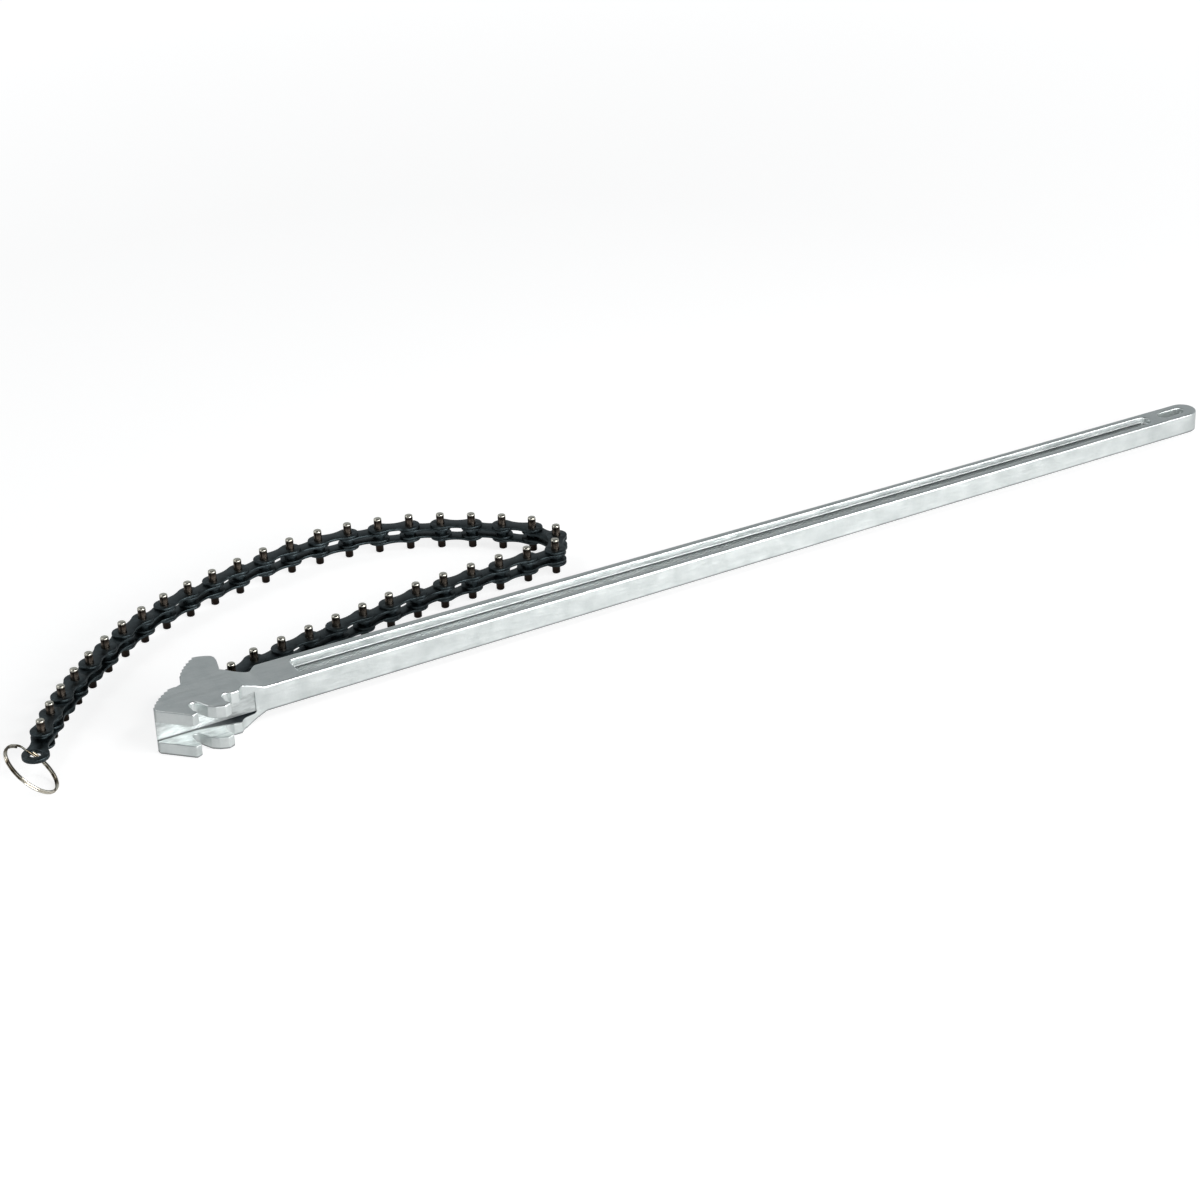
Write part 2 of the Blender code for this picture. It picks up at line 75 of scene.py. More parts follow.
camera_up = CAMERA_RIGHT.cross(CAMERA_FORWARD)
frame_right = CAMERA_RIGHT * math.cos(CAMERA_ROLL) + camera_up * math.sin(CAMERA_ROLL)
frame_up = camera_up * math.cos(CAMERA_ROLL) - CAMERA_RIGHT * math.sin(CAMERA_ROLL)
bpy.ops.object.camera_add(location=CAMERA_PLACE)
camera = bpy.context.object
camera.rotation_euler = Matrix((frame_right, frame_up, -CAMERA_FORWARD)).transposed().to_euler()
camera.data.sensor_width = SENSOR_WIDTH
camera.data.lens = FOCAL_LENGTH
camera.data.clip_start = 0.1
scene.camera = camera
print("Camera at", tuple(camera.location))

# %% [markdown]
# ## Working in edit mode
# A modeller picks an object, goes into edit mode, picks some of its parts and uses an operator on
# them. These few helpers do the same. They pick one object, select the parts of it that a test
# accepts, add and apply a modifier, cut one piece with another, join pieces, and finish a shape.

# %% Helpers for picking, editing and modifiers
def pick(piece):
    bpy.ops.object.select_all(action="DESELECT")
    piece.select_set(True)
    bpy.context.view_layer.objects.active = piece
    return piece


def select_parts(piece, kind, test):
    """Select the vertices, edges or faces that pass the test, with the piece in edit mode."""
    bpy.ops.mesh.select_mode(type={"verts": "VERT", "edges": "EDGE", "faces": "FACE"}[kind])
    bpy.ops.mesh.select_all(action="DESELECT")
    shape = bmesh.from_edit_mesh(piece.data)
    for part in getattr(shape, kind):
        if test(part):
            part.select_set(True)
    bmesh.update_edit_mesh(piece.data)


def use_modifier(piece, kind, **settings):
    pick(piece)
    step = piece.modifiers.new(kind.title(), kind)
    for name, value in settings.items():
        setattr(step, name, value)
    bpy.ops.object.modifier_apply(modifier=step.name)


def cut_with(piece, cutter):
    use_modifier(piece, "BOOLEAN", operation="DIFFERENCE", object=cutter)
    bpy.data.objects.remove(cutter)


def join(first, *others):
    pick(first)
    for other in others:
        other.select_set(True)
    bpy.ops.object.join()
    return first


def finish_shape(piece, name, sharp=35.0):
    """Put the piece's place in its mesh, turn its faces outwards and shade it smooth."""
    pick(piece)
    bpy.ops.object.transform_apply(location=True, rotation=True, scale=True)
    bpy.ops.object.mode_set(mode="EDIT")
    bpy.ops.mesh.select_all(action="SELECT")
    bpy.ops.mesh.normals_make_consistent(inside=False)
    bpy.ops.object.mode_set(mode="OBJECT")
    bpy.ops.object.shade_smooth_by_angle(angle=math.radians(sharp))
    piece.name = name
    piece.data.name = name
    return piece


print("Packed solids:", len(frame["nodes"]))

# %% [markdown]
# ## Colours and nodes
# Each finish is a small network of nodes. Colours are written as the hex values that a picture
# editor shows, and one function turns them to the linear values that the renderer works with. One
# more function adds a node, with its settings and what its sockets are fed with. Where a whole node
# is given as the feed, its first output is meant.

# %% Helpers for materials
def linear(hex_colour):
    values = [int(hex_colour[i:i + 2], 16) / 255 for i in (1, 3, 5)]
    return (*(v / 12.92 if v <= 0.04045 else ((v + 0.055) / 1.055) ** 2.4 for v in values), 1.0)


def add_node(tree, kind, inputs=None, **settings):
    """Add a node. An input is given a value, or the output or the node that feeds it."""
    node = tree.nodes.new(kind)
    for name, value in settings.items():
        setattr(node, name, value)
    for name, value in (inputs or {}).items():
        if isinstance(value, bpy.types.Node):
            value = value.outputs[0]
        if isinstance(value, bpy.types.NodeSocket):
            tree.links.new(value, node.inputs[name])
        else:
            node.inputs[name].default_value = value
    return node


def new_material(name):
    made = bpy.data.materials.new(name)
    made.use_nodes = True
    made.node_tree.nodes.clear()
    return made, made.node_tree


def set_stops(ramp, *stops):
    """Give a colour ramp its stops, each a place and a hex colour."""
    elements = ramp.color_ramp.elements
    while len(elements) < len(stops):
        elements.new(0.5)
    for element, (place, colour) in zip(elements, stops):
        element.position = place
        element.color = linear(colour)
    return ramp


def metal_surface(tree, colour, roughness, normal):
    surface = add_node(tree, "ShaderNodeBsdfPrincipled", {
        "Base Color": colour, "Metallic": 1.0, "Roughness": roughness, "Normal": normal,
    })
    add_node(tree, "ShaderNodeOutputMaterial", {"Surface": surface})


print("White in linear values:", linear("#FFFFFF"))

# %% [markdown]
# ## Bright zinc plate on a forging
# The bar is drop forged steel that was tumbled and then zinc plated: a bright, slightly blue-grey
# metal that keeps the soft ripple of the forged skin. The ripple is some millimetres across and is
# drawn out along the bar. It breaks up the reflections, so it is a bump. A finer, cloudy stain
# changes the colour and the gloss a little.

# %% Start the plated finish
RIPPLE_LENGTH = 30 * MM
RIPPLE_WIDTH = 7 * MM
PEEL_SIZE = 2.6 * MM
CLOUD_SIZE = 16 * MM

plated, tree = new_material("bright_zinc_plate")
place = add_node(tree, "ShaderNodeTexCoord").outputs["Object"]
drawn_out = add_node(tree, "ShaderNodeMapping", {
    "Vector": place, "Scale": (1 / RIPPLE_LENGTH, 1 / RIPPLE_WIDTH, 1 / RIPPLE_WIDTH),
})
ripple = add_node(tree, "ShaderNodeTexNoise", {
    "Vector": drawn_out, "Scale": 1.0, "Detail": 3.0, "Roughness": 0.55,
})
peel = add_node(tree, "ShaderNodeTexNoise", {
    "Vector": place, "Scale": 1 / PEEL_SIZE, "Detail": 2.0, "Roughness": 0.5,
})
clouds = add_node(tree, "ShaderNodeTexNoise", {
    "Vector": place, "Scale": 1 / CLOUD_SIZE, "Detail": 5.0, "Roughness": 0.6,
})
ripple_bump = add_node(tree, "ShaderNodeBump", {
    "Height": ripple, "Strength": 0.45, "Distance": 1.0 * MM,
})
peel_bump = add_node(tree, "ShaderNodeBump", {
    "Height": peel, "Strength": 0.3, "Distance": 0.3 * MM, "Normal": ripple_bump,
})
plate_colour = set_stops(
    add_node(tree, "ShaderNodeValToRGB", {"Fac": clouds}),
    (0.3, "#D8DEDD"), (0.5, "#E1E6E5"), (0.7, "#E8ECEB"),
)
plate_gloss = add_node(tree, "ShaderNodeMapRange", {
    "Value": clouds, "From Min": 0.3, "From Max": 0.7, "To Min": 0.32, "To Max": 0.44,
})
axes = add_node(tree, "ShaderNodeSeparateXYZ", {"Vector": place}).outputs
print("Started", plated.name)

# %% [markdown]
# ## Painted shade on the forging
# Shade is painted into the plate's colour in a few places. Each such place is a mask: a number
# from 0, unpainted, to 1, dark. It is worked out from where a point of the forging is, so it needs
# the forging's own sizes. One function makes a mask from its limits. Each limit fades the mask from
# one number to another while a value goes from start to end. The first place is the lower rim,
# darkened as a painted reflection of the shadowed table under the handle. It follows the
# underside, which rises at the neck and then slowly along the handle.

# %% Paint shade on the lower rim
FORGING_MIDDLE = 18 * MM
NECK_SPAN = (38.5 * MM, 56 * MM)
UNDERSIDE_HEIGHT = 7.6 * MM
UNDERSIDE_SLOPE = 0.00206
RIM_SHADE = 0.9
RIM_SHADE_HEIGHT = 2.0 * MM


def mask(tree, *limits):
    """Multiply the fades that are given as (value, start, end, number at start, number at end)."""
    whole = None
    for value, start, end, at_start, at_end in limits:
        part = add_node(tree, "ShaderNodeMapRange", {
            "Value": value, "From Min": start, "From Max": end,
            "To Min": at_start, "To Max": at_end,
        })
        if whole:
            part = add_node(tree, "ShaderNodeMath", {0: whole, 1: part}, operation="MULTIPLY")
        whole = part
    return whole


past_neck = mask(tree, (axes["X"], *NECK_SPAN, 0.0, 1.0))
underside = add_node(tree, "ShaderNodeMath", {
    0: axes["X"], 1: UNDERSIDE_SLOPE, 2: UNDERSIDE_HEIGHT,
}, operation="MULTIPLY_ADD")
low_skin = add_node(tree, "ShaderNodeMath", {0: past_neck, 1: underside}, operation="MULTIPLY")
above_skin = add_node(tree, "ShaderNodeMath", {0: axes["Z"], 1: low_skin}, operation="SUBTRACT")
# Painted shade: the lower rim is darkened as a painted reflection of the shadowed table under it.
painted_rim_shade = mask(tree, (above_skin, 0.5 * MM, RIM_SHADE_HEIGHT, RIM_SHADE, 0.0))
print("The rim's soil reaches", RIM_SHADE_HEIGHT, "m up")

# %% [markdown]
# The second place is the wide slot between the two rows of hooks. A line of painted shade lies in
# the corner between its floor and its back wall. It is thin at the jaw's tip, widens to a wedge and
# closes again at the slot's end. The slot's walls get a little streaky painted shade.

# %% Paint shade in the slot
SLOT_HALF = 8.3 * MM
SLOT_BACK = -17 * MM
SLOT_END = 47.4 * MM
SLOT_LOW = FORGING_MIDDLE - SLOT_HALF
WEDGE_PLACE = 33 * MM
THIN_SHADE_LINE = 1.7 * MM
WIDE_SHADE_WEDGE = 10 * MM
SHADE_AT_END = 0.8 * MM
PALE_SHADE = 0.7
DARKEST_SHADE_PLACE = 30 * MM
STREAK_SHADE_LEAST, STREAK_SHADE_MOST = 0.06, 0.34
SOFT_EDGE = (0.75, 1.1)
STREAK_RANGE = (0.35, 0.65)

from_back = add_node(tree, "ShaderNodeMath", {0: axes["Y"], 1: SLOT_BACK}, operation="SUBTRACT")
above_floor = add_node(tree, "ShaderNodeMath", {0: axes["Z"], 1: SLOT_LOW}, operation="SUBTRACT")
above_middle = add_node(
    tree, "ShaderNodeMath", {0: axes["Z"], 1: FORGING_MIDDLE}, operation="SUBTRACT",
)
off_middle = add_node(tree, "ShaderNodeMath", {0: above_middle}, operation="ABSOLUTE")
before_back = mask(tree, (from_back, 0.3 * MM, 0.8 * MM, 1.0, 0.0))
before_end = add_node(tree, "ShaderNodeMath", {0: axes["X"], 1: SLOT_END}, operation="LESS_THAN")
in_slot = add_node(tree, "ShaderNodeMath", {0: before_back, 1: before_end}, operation="MULTIPLY")
widening = add_node(tree, "ShaderNodeMapRange", {
    "Value": axes["X"], "From Max": WEDGE_PLACE, "To Min": -THIN_SHADE_LINE, "To Max": -WIDE_SHADE_WEDGE,
})
narrowing = add_node(tree, "ShaderNodeMapRange", {
    "Value": axes["X"], "From Min": WEDGE_PLACE, "From Max": SLOT_END,
    "To Max": WIDE_SHADE_WEDGE - SHADE_AT_END,
})
shade_width = add_node(tree, "ShaderNodeMath", {0: widening, 1: narrowing}, operation="ADD")
share_of_width = add_node(
    tree, "ShaderNodeMath", {0: from_back, 1: shade_width}, operation="DIVIDE",
)
# Painted shade: a dark line in the slot's lower back corner, which widens to a wedge.
painted_corner_shade = mask(
    tree, (share_of_width, *SOFT_EDGE, 1.0, 0.0),
    (above_floor, 0.5 * MM, 1.0 * MM, 1.0, 0.0), (above_floor, -0.9 * MM, -0.4 * MM, 0.0, 1.0),
    (axes["X"], 0.0, DARKEST_SHADE_PLACE, PALE_SHADE, 1.0),
)
streaks = add_node(tree, "ShaderNodeTexNoise", {
    "Vector": drawn_out, "Scale": 3.0, "Detail": 3.0, "Roughness": 0.6,
})
# Painted shade: the slot's walls are darkened a little, in streaks.
streaky_slot_shade = mask(
    tree, (streaks, *STREAK_RANGE, STREAK_SHADE_LEAST, STREAK_SHADE_MOST),
    (off_middle, SLOT_HALF - 0.1 * MM, SLOT_HALF + 0.3 * MM, 1.0, 0.0),
)
darker = add_node(tree, "ShaderNodeMath", {0: painted_corner_shade, 1: streaky_slot_shade}, operation="MAXIMUM")
painted_slot_shade = add_node(tree, "ShaderNodeMath", {0: in_slot, 1: darker}, operation="MULTIPLY")
print("The grease is", WIDE_SHADE_WEDGE, "m wide at the widest")

# %% [markdown]
# The third place is the long groove of the handle: its floor is dull and darkened by painted shade,
# and a darker line of painted shade lies at the foot of its walls. The groove gets narrower along
# the handle, and its walls' foot with it.

# %% Paint shade in the groove
GROOVE_SPAN = (84 * MM, 884 * MM)
WEB_HALF = 2.8 * MM
FOOT_SPAN = (87 * MM, 875 * MM)
FOOT_NEAR_JAW, FOOT_NEAR_END = 9.5 * MM, 6.1 * MM
FLOOR_SHADE = 0.5
FOOT_LINE_SHADE = 0.9

wall_foot = add_node(tree, "ShaderNodeMapRange", {
    "Value": axes["X"], "From Min": FOOT_SPAN[0], "From Max": FOOT_SPAN[1],
    "To Min": FOOT_NEAR_JAW, "To Max": FOOT_NEAR_END,
})
off_axis = add_node(tree, "ShaderNodeMath", {0: axes["Y"]}, operation="ABSOLUTE")
past_foot = add_node(tree, "ShaderNodeMath", {0: off_axis, 1: wall_foot}, operation="SUBTRACT")
in_groove = mask(
    tree, (past_foot, 0.9 * MM, 1.1 * MM, 1.0, 0.0),
    (axes["X"], GROOVE_SPAN[0], GROOVE_SPAN[0] + 2 * MM, 0.0, 1.0),
    (axes["X"], GROOVE_SPAN[1], GROOVE_SPAN[1] + 2 * MM, 1.0, 0.0),
)
# Painted shade: the groove's floor and the foot of its walls are darkened.
painted_floor_shade = mask(tree, (off_middle, WEB_HALF + 0.4 * MM, WEB_HALF + 1.4 * MM, FLOOR_SHADE, 0.0))
painted_foot_shade = mask(
    tree, (past_foot, -1.5 * MM, -0.8 * MM, 0.0, FOOT_LINE_SHADE),
    (off_middle, WEB_HALF + 0.8 * MM, WEB_HALF + 1.6 * MM, 1.0, 0.0),
)
darker = add_node(tree, "ShaderNodeMath", {0: painted_floor_shade, 1: painted_foot_shade}, operation="MAXIMUM")
painted_groove_shade = add_node(tree, "ShaderNodeMath", {0: in_groove, 1: darker}, operation="MULTIPLY")
print("The groove is soiled over", GROOVE_SPAN[1] - GROOVE_SPAN[0], "m")

# %% [markdown]
# The darkest of the masks wins at each point. It mixes the plate's colour with a cool black as
# painted shade, and takes some of the gloss away.

# %% Finish the plated finish
SHADE_DULLING = 0.25
SHADE_BLACK = "#20262A"

darker = add_node(tree, "ShaderNodeMath", {0: painted_slot_shade, 1: painted_groove_shade}, operation="MAXIMUM")
painted_shade = add_node(tree, "ShaderNodeMath", {0: painted_rim_shade, 1: darker}, operation="MAXIMUM")
# The cool black is painted shade, laid into the plate's colour where the masks say.
painted_dark = add_node(tree, "ShaderNodeMixRGB", {
    "Fac": painted_shade, "Color1": plate_colour, "Color2": linear(SHADE_BLACK),
})
gloss = add_node(tree, "ShaderNodeMath", {
    0: painted_shade, 1: SHADE_DULLING, 2: plate_gloss,
}, operation="MULTIPLY_ADD")
metal_surface(tree, painted_dark, gloss, peel_bump)
print("Made", plated.name)

# %% [markdown]
# ## Black oxide on the chain's plates
# The plates are stamped from steel strip and blackened in a hot salt bath, then oiled. That leaves
# a thin, almost black skin with a cool sheen, and a fine grain from the stamping. The oil is
# uneven, so the gloss changes from place to place. The grain is drawn coarser than it is, because
# it would not show otherwise.

# %% Make the blackened finish
OIL_PATCH = 5 * MM
STRIP_GRAIN = 0.7 * MM

blackened, tree = new_material("black_oxide_strip")
place = add_node(tree, "ShaderNodeTexCoord").outputs["Object"]
oil = add_node(tree, "ShaderNodeTexNoise", {
    "Vector": place, "Scale": 1 / OIL_PATCH, "Detail": 4.0, "Roughness": 0.6,
})
grain = add_node(tree, "ShaderNodeTexNoise", {
    "Vector": place, "Scale": 1 / STRIP_GRAIN, "Detail": 2.0, "Roughness": 0.6,
})
grain_bump = add_node(tree, "ShaderNodeBump", {
    "Height": grain, "Strength": 0.25, "Distance": 0.06 * MM,
})
oxide_colour = set_stops(
    add_node(tree, "ShaderNodeValToRGB", {"Fac": oil}),
    (0.3, "#31383B"), (0.55, "#424B4E"), (0.75, "#586266"),
)
oil_gloss = add_node(tree, "ShaderNodeMapRange", {
    "Value": oil, "From Min": 0.3, "From Max": 0.7, "To Min": 0.3, "To Max": 0.5,
})
metal_surface(tree, oxide_colour, oil_gloss, grain_bump)
print("Made", blackened.name)

# %% [markdown]
# ## Bare steel pins
# The pins are hardened steel rod, left bare. Their upper tips carry a painted highlight with a dark
# band painted under it as part of it, and towards the table they get darker and brown. The pins all
# stand upright, so the height above the table sets the colour. Small specks make the rings uneven,
# and fine turning marks run round the rod. They are drawn coarser than they are, so that they show.

# %% Make the pin finish
PIN_LENGTH = 30 * MM
COLOUR_HEIGHT = 1.06 * PIN_LENGTH
SPECK_SIZE = 2.5 * MM
SPECK_SHARE = 0.04
TURNING_MARK = 0.5 * MM
MARKS_AROUND = 60.0

bare, tree = new_material("bare_hardened_rod")
place = add_node(tree, "ShaderNodeTexCoord").outputs["Object"]
height = add_node(tree, "ShaderNodeSeparateXYZ", {"Vector": place}).outputs["Z"]
height_share = add_node(tree, "ShaderNodeMapRange", {"Value": height, "From Max": COLOUR_HEIGHT})
specks = add_node(tree, "ShaderNodeTexNoise", {
    "Vector": place, "Scale": 1 / SPECK_SIZE, "Detail": 3.0,
})
speckled_height = add_node(tree, "ShaderNodeMath", {
    0: specks, 1: SPECK_SHARE, 2: height_share,
}, operation="MULTIPLY_ADD")
# The top stops paint a dark band and a bright tip on each pin: a painted highlight. Below them the
# rod simply gets darker towards the bottom.
rod_colour_and_painted_tip = set_stops(
    add_node(tree, "ShaderNodeValToRGB", {"Fac": speckled_height}),
    (0.1, "#2B2420"), (0.45, "#4A413A"), (0.8, "#6E645B"), (0.875, "#38312C"), (0.908, "#38312C"),
    (0.928, "#D8D4C8"),
)
around = add_node(tree, "ShaderNodeMapping", {
    "Vector": place, "Scale": (MARKS_AROUND, MARKS_AROUND, 1 / TURNING_MARK),
})
marks = add_node(tree, "ShaderNodeTexNoise", {"Vector": around, "Scale": 1.0, "Detail": 1.0})
mark_bump = add_node(tree, "ShaderNodeBump", {
    "Height": marks, "Strength": 0.3, "Distance": 0.03 * MM,
})
metal_surface(tree, rod_colour_and_painted_tip, 0.27, mark_bump)
print("Made", bare.name)

# %% [markdown]
# ## Nickel on the pull ring
# The split ring is spring wire with a warm, bright nickel coat, painted light and dark brown in
# patches as painted reflections. It is the glossiest piece, with only faint scratches from use,
# which are drawn wider than they are.

# %% Make the nickel finish
REFLECTION_PATCH = 7 * MM
SCRATCHES_PER_METRE = 900.0

nickel, tree = new_material("bright_nickel_wire")
place = add_node(tree, "ShaderNodeTexCoord").outputs["Object"]
scratches = add_node(tree, "ShaderNodeTexNoise", {
    "Vector": place, "Scale": SCRATCHES_PER_METRE, "Detail": 4.0,
})
painted_reflections = add_node(tree, "ShaderNodeTexNoise", {
    "Vector": place, "Scale": 1 / REFLECTION_PATCH, "Detail": 1.0, "Roughness": 0.4,
})
# The light and dark brown patches are painted reflections.
nickel_with_painted_reflections = set_stops(
    add_node(tree, "ShaderNodeValToRGB", {"Fac": painted_reflections}),
    (0.38, "#5E5546"), (0.46, "#A79C88"), (0.56, "#E4DED0"),
)
scratch_bump = add_node(tree, "ShaderNodeBump", {
    "Height": scratches, "Strength": 0.15, "Distance": 0.05 * MM,
})
metal_surface(tree, nickel_with_painted_reflections, 0.1, scratch_bump)
print("Made", nickel.name)

# %% [markdown]
# ## The forging
# The jaw and the handle are one forging. Its solid already has the right outline, slots and
# grooves, but every edge of it is knife sharp, and a forging has none: its dies leave wide fillets
# in the grooves and a round on each rim. So a copy of the solid is merged back into clean faces and
# rounded. Edges shorter than a rim's radius can carry are closed up on the way.

# %% Copy the forging's solid and clean it
SAME_PLACE = 0.005 * MM
SAME_PLANE = math.radians(0.05)
SHORTEST_EDGE = 0.28 * MM
NEARLY_FLAT = math.radians(0.2)

forging_solid = frame["nodes"]["handle_forging"]
forging = bpy.data.objects.new("forged_wrench", forging_solid.data.copy())
forging.data.materials.clear()
scene.collection.objects.link(forging)
pick(forging)
bpy.ops.object.mode_set(mode="EDIT")
bpy.ops.mesh.select_all(action="SELECT")
bpy.ops.mesh.remove_doubles(threshold=SAME_PLACE)
bpy.ops.mesh.dissolve_limited(angle_limit=SAME_PLANE)
bpy.ops.mesh.select_all(action="SELECT")
bpy.ops.mesh.remove_doubles(threshold=SHORTEST_EDGE)
bpy.ops.mesh.dissolve_limited(angle_limit=NEARLY_FLAT)
bpy.ops.object.mode_set(mode="OBJECT")
print("The clean forging has", len(forging.data.polygons), "faces")

# %% [markdown]
# An edge's radius follows from where it is. These values say where the teeth, the notch between the
# hooks, the groove and the hanging slot are, and how far each kind of edge is rounded.

# %% Name the places and the radii
HEAD_HALF = 18 * MM
ROOT_HALF = 10.3 * MM
END_HALF = 8.5 * MM
HANDLE_TIP = 929 * MM
TOOTH_ROWS = (((-29.6, -15.5), (-10.8, 4.4)), ((4.2, 18.3), (22.6, 39.9)))
TOOTH_REACH = 3.2 * MM
SHARP_TURN = 30
CORNER_RADIUS = 0.8 * MM
RIM = 1.2 * MM
NOTCH_RIM = 0.9 * MM
NOTCH_FROM = Vector((-11.0, 3.0)) * MM
NOTCH_TO = Vector((4.5, 18.6)) * MM
SLOT_RIM = 0.6 * MM
SLOT_FILLET = 0.8 * MM
GROOVE_RIM = 0.8 * MM
GROOVE_FILLET = 1.8 * MM
HANG_RIM = 1.0 * MM
GROOVE_HALF = 11.6 * MM
HANG_SPAN = (888 * MM, 922 * MM)
HANG_HALF = 6.0 * MM
EVEN_RADII = (0.0, RIM, NOTCH_RIM, GROOVE_FILLET)
print("Radii in metres:", EVEN_RADII)

# %% [markdown]
# The next functions look at one edge. They say whether it is by the teeth, how high the forging's
# face is there, which way the edge runs and how much room the faces beside it leave.

# %% Look at an edge
SIDEWAYS = 0.8


def by_teeth(point):
    """True near either row of teeth."""
    for start, end in TOOTH_ROWS:
        first, last = Vector(start) * MM, Vector(end) * MM
        along = last - first
        share = max(0.0, min(1.0, (point.xy - first).dot(along) / along.length_squared))
        if (point.xy - first.lerp(last, share)).length < TOOTH_REACH:
            return True
    return False


def skin_height(x):
    """How far the forging's upper and lower faces are from its middle at x."""
    if x < NECK_SPAN[1]:
        share = max(0.0, (x - NECK_SPAN[0]) / (NECK_SPAN[1] - NECK_SPAN[0]))
        return HEAD_HALF + (ROOT_HALF - HEAD_HALF) * share
    share = (x - NECK_SPAN[1]) / (HANDLE_TIP - NECK_SPAN[1])
    return ROOT_HALF + (END_HALF - ROOT_HALF) * share


def edge_direction(edge):
    return (edge.verts[1].co - edge.verts[0].co).normalized()


def room_at(edge):
    """The shortest edge that leaves this edge's ends sideways."""
    along = edge_direction(edge)
    lengths = [
        other.calc_length() for end in edge.verts for other in end.link_edges
        if other is not edge and abs(edge_direction(other).dot(along)) < SIDEWAYS
    ]
    return min(lengths, default=0.0)


print("Half of the handle's height at its tip, in metres:", skin_height(HANDLE_TIP))

# %% [markdown]
# Now the radius itself. An edge that hardly turns stays as it is, and so do the teeth, which are
# cut sharp. Where an edge has too little room for its radius, it gets a smaller one. The rims keep
# theirs all the way, because a rim that changes its width would catch the eye.

# %% Choose a radius for each edge
LEAST_TURN = 7
UPRIGHT = 0.95
SKIN_TOLERANCE = 0.3 * MM
ROOM_SHARE = 0.4


def wanted_radius(edge):
    """The radius that the real forging has at an edge like this one."""
    place, along = (edge.verts[0].co + edge.verts[1].co) / 2, edge_direction(edge)
    turn = math.degrees(edge.calc_face_angle(0.0))
    if turn < LEAST_TURN:
        return 0.0
    if abs(along.z) > UPRIGHT:
        return 0.0 if turn < SHARP_TURN or by_teeth(place) else CORNER_RADIUS
    off_middle = abs(place.z - FORGING_MIDDLE)
    if GROOVE_SPAN[0] < place.x < GROOVE_SPAN[1] and abs(place.y) < GROOVE_HALF:
        return GROOVE_FILLET if off_middle < WEB_HALF + 1 * MM else GROOVE_RIM
    if HANG_SPAN[0] < place.x < HANG_SPAN[1] and abs(place.y) < HANG_HALF:
        return HANG_RIM
    if abs(off_middle - skin_height(place.x)) < SKIN_TOLERANCE:
        if turn < SHARP_TURN:
            return 0.0
        in_notch = NOTCH_FROM.x < place.x < NOTCH_TO.x and NOTCH_FROM.y < place.y < NOTCH_TO.y
        if in_notch and max(edge.verts[0].co.y, edge.verts[1].co.y) - place.y > TOOTH_REACH:
            return NOTCH_RIM
        return 0.0 if by_teeth(place) else NOTCH_RIM if in_notch else RIM
    return SLOT_RIM if edge.is_convex else SLOT_FILLET


def edge_radius(edge):
    """The wanted radius, or what the neighbouring faces leave room for."""
    wanted = wanted_radius(edge)
    return wanted if wanted in EVEN_RADII else min(wanted, ROOM_SHARE * room_at(edge))


def round_edges(piece, radius_of, segments):
    """Bevel every edge by the radius that a function gives for it."""
    shape = bmesh.new()
    shape.from_mesh(piece.data)
    shape.normal_update()
    weight = shape.edges.layers.float.get("bevel_weight_edge")
    weight = weight or shape.edges.layers.float.new("bevel_weight_edge")
    radii = {edge: radius_of(edge) for edge in shape.edges}
    widest = max(radii.values())
    for edge, radius in radii.items():
        edge[weight] = radius / widest
    shape.to_mesh(piece.data)
    shape.free()
    use_modifier(
        piece, "BEVEL", limit_method="WEIGHT", width=widest, segments=segments,
        use_clamp_overlap=False, loop_slide=False,
    )


print("Edges that turn less than", LEAST_TURN, "degrees stay as they are")

# %% [markdown]
# Each radius is written to its edge as a bevel weight, and one Bevel modifier rounds them all. A
# few new corners stand a little proud of the flat faces, so they are set back to them. Weighted
# normals then keep the large faces flat in the shading.

# %% Round the forging
ROUND_STEPS = 3

round_edges(forging, edge_radius, ROUND_STEPS)
for corner in forging.data.vertices:
    corner.co.z = min(max(corner.co.z, 0.0), 2 * FORGING_MIDDLE)
forging.data.materials.append(plated)
finish_shape(forging, "forged_wrench", sharp=40.0)
use_modifier(forging, "WEIGHTED_NORMAL", keep_sharp=True)
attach(forging, "tool")
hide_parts("handle_forging")
print("The rounded forging has", len(forging.data.polygons), "faces")

# %% [markdown]
# ## A chain plate
# Every plate of the chain is a dog bone: two round eyes an inch apart with a waist between them. It
# starts as a filled circle. Its right half is moved one pitch along, which makes a stadium, the two
# long sides are divided, and the new points are pulled in to the waist's curve. Then it is
# extruded, its eyes are drilled and its stamped edges are eased.

# %% Make a plate
PITCH = 25.4 * MM
EYE_RADIUS = 8.6 * MM
WAIST_HALF = 5.8 * MM
PLATE_THICKNESS = 2.0 * MM
EYE_POINTS = 32
WAIST_POINTS = 11
STAMPED_EDGE = 0.4 * MM
HOLE_RADIUS = 3.3 * MM
HOLE_POINTS = 28
DRILL_LENGTH = 30 * MM
LONG_SIDE = 0.8 * PITCH
SHARP_CORNER = math.radians(50)
HOLLOW = ((PITCH / 2) ** 2 + WAIST_HALF**2 - EYE_RADIUS**2) / (2 * (EYE_RADIUS - WAIST_HALF))


def plate_half_width(x, far_radius):
    """Half a plate's width at x: its near eye, the hollow waist, or its far eye."""
    reach = EYE_RADIUS + HOLLOW
    hollow_x = (PITCH**2 + reach**2 - (far_radius + HOLLOW) ** 2) / (2 * PITCH)
    hollow_y = math.sqrt(reach**2 - hollow_x**2)
    near_end = hollow_x * EYE_RADIUS / reach
    far_end = PITCH - (PITCH - hollow_x) * far_radius / (far_radius + HOLLOW)
    if x < near_end:
        return math.sqrt(EYE_RADIUS**2 - x**2)
    if x > far_end:
        return math.sqrt(far_radius**2 - (PITCH - x) ** 2)
    return hollow_y - math.sqrt(HOLLOW**2 - (x - hollow_x) ** 2)


def drill(piece, x, radius):
    bpy.ops.mesh.primitive_cylinder_add(
        vertices=HOLE_POINTS, radius=radius, depth=DRILL_LENGTH, location=(x, 0, 0),
    )
    cut_with(piece, bpy.context.object)


def ease_corners(piece, width, segments):
    use_modifier(
        piece, "BEVEL", limit_method="ANGLE", angle_limit=SHARP_CORNER, width=width,
        segments=segments,
    )


